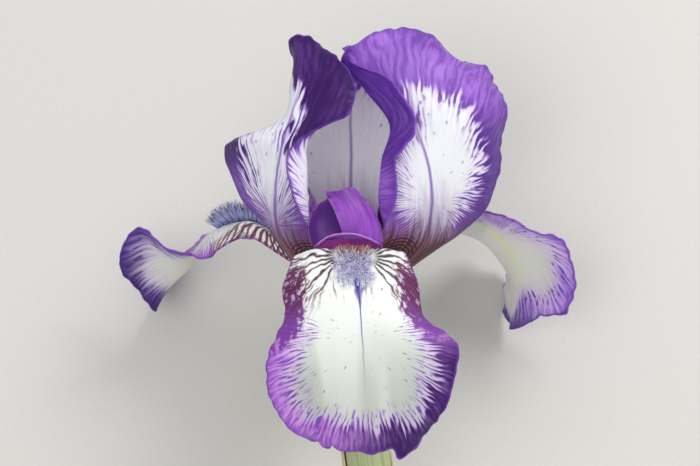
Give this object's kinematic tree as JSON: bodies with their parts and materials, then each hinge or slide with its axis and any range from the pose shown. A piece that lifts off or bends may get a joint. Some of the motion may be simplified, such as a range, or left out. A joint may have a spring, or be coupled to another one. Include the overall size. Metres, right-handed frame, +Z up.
{
  "type": "bearded iris flower",
  "caption": "Cut bearded iris bloom lying on its back: purple-edged white falls with furry beards, upright domed standards, style arms, stamens, ovary, bracts and a short stem.",
  "frame": {"origin": "on the table, under the middle of the flower's bounding box", "axes": "+Y from the stem's cut end towards the flower's top, +X to the flower's right as its face is seen from above, +Z up off the table"},
  "size_m": [0.1299, 0.1802, 0.0856],
  "materials": {
    "fall_petal": "matte",
    "standard_petal": "matte",
    "beard_hair": "matte",
    "style_arm": "satin",
    "stamen": "matte",
    "ovary_green": "satin",
    "stem_green": "satin",
    "spathe_green": "satin"
  },
  "bodies": {
    "root": {"fall_front": "fall_petal", "fall_left": "fall_petal", "fall_right": "fall_petal", "beard_front": "beard_hair", "beard_left": "beard_hair", "beard_right": "beard_hair", "standard_left": "standard_petal", "standard_right": "standard_petal", "standard_back": "standard_petal", "style_arm_front": "style_arm", "style_arm_left": "style_arm", "style_arm_right": "style_arm", "stamen_front": "stamen", "stamen_left": "stamen", "stamen_right": "stamen", "ovary_and_tube": "ovary_green", "stem": "stem_green", "spathe_outer": "spathe_green", "spathe_inner": "spathe_green"}
  },
  "joints": []
}
